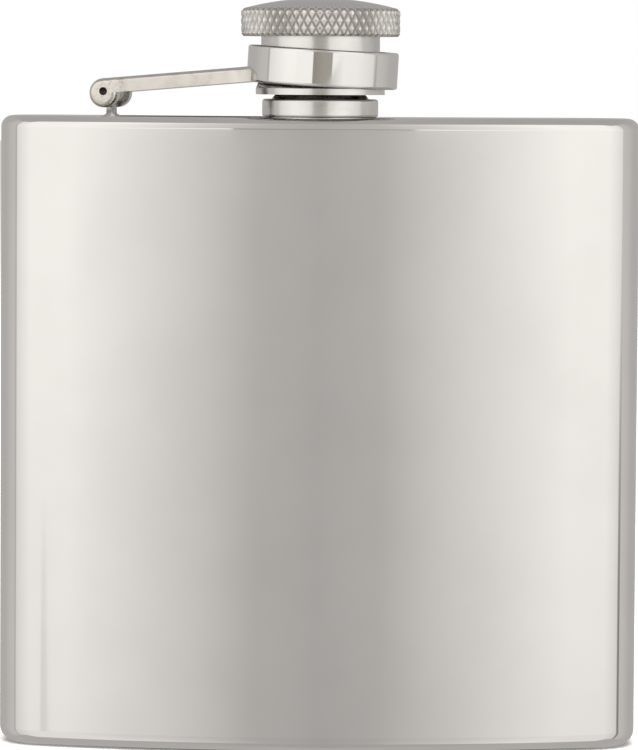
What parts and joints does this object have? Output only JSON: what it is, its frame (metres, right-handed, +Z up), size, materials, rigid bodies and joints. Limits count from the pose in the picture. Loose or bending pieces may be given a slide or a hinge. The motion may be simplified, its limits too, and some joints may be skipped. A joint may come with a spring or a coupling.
{
  "type": "hip flask",
  "caption": "Curved steel hip flask with a knurled screw cap, held captive by a ring on a hinged arm.",
  "frame": {"origin": "on the table under the middle of the overall box, cap closed", "axes": "+X to the right as the convex front is seen, hinge at -X; +Y towards the concave back; +Z up"},
  "size_m": [0.094, 0.0282, 0.1099],
  "materials": {
    "polished_steel": "mirror polished stainless steel sheet",
    "turned_steel": "turned and lightly polished stainless steel",
    "arm_steel": "bright nickel-plated casting",
    "pin_steel": "dull steel pin",
    "knurled_steel": "diamond knurled edge, satin dome",
    "silicone": "translucent white silicone"
  },
  "bodies": {
    "flask": {"body_shell": "polished_steel", "top_plate": "polished_steel", "base_plate": "polished_steel", "neck": "turned_steel", "hinge_lug": "arm_steel"},
    "arm": {"hinge_arm": "arm_steel", "cap_ring": "arm_steel", "hinge_pin": "pin_steel"},
    "seal": {"cap_gasket": "silicone"},
    "cap": {"cap_head": "knurled_steel", "cap_sleeve": "turned_steel"}
  },
  "joints": [
    {"name": "arm_swing", "type": "hinge", "parent": "flask", "child": "arm", "pos_m": [-0.03091, 0.00419, 0.0961], "axis": [-0.2079, -0.9781, 0], "range_deg": [0, 180]},
    {"name": "cap_lift", "type": "slide", "parent": "arm", "child": "seal", "axis": [0, 0, 1], "range_m": [0, 0.0035]},
    {"name": "cap_turn", "type": "hinge", "parent": "seal", "child": "cap", "pos_m": [0, -0.00237, 0.1021], "axis": [0, 0, 1], "range_deg": [0, 630]}
  ],
  "couplings": [
    {"joint": "cap_lift", "follows": "cap_turn", "m_per_rad": 0.00031831}
  ]
}
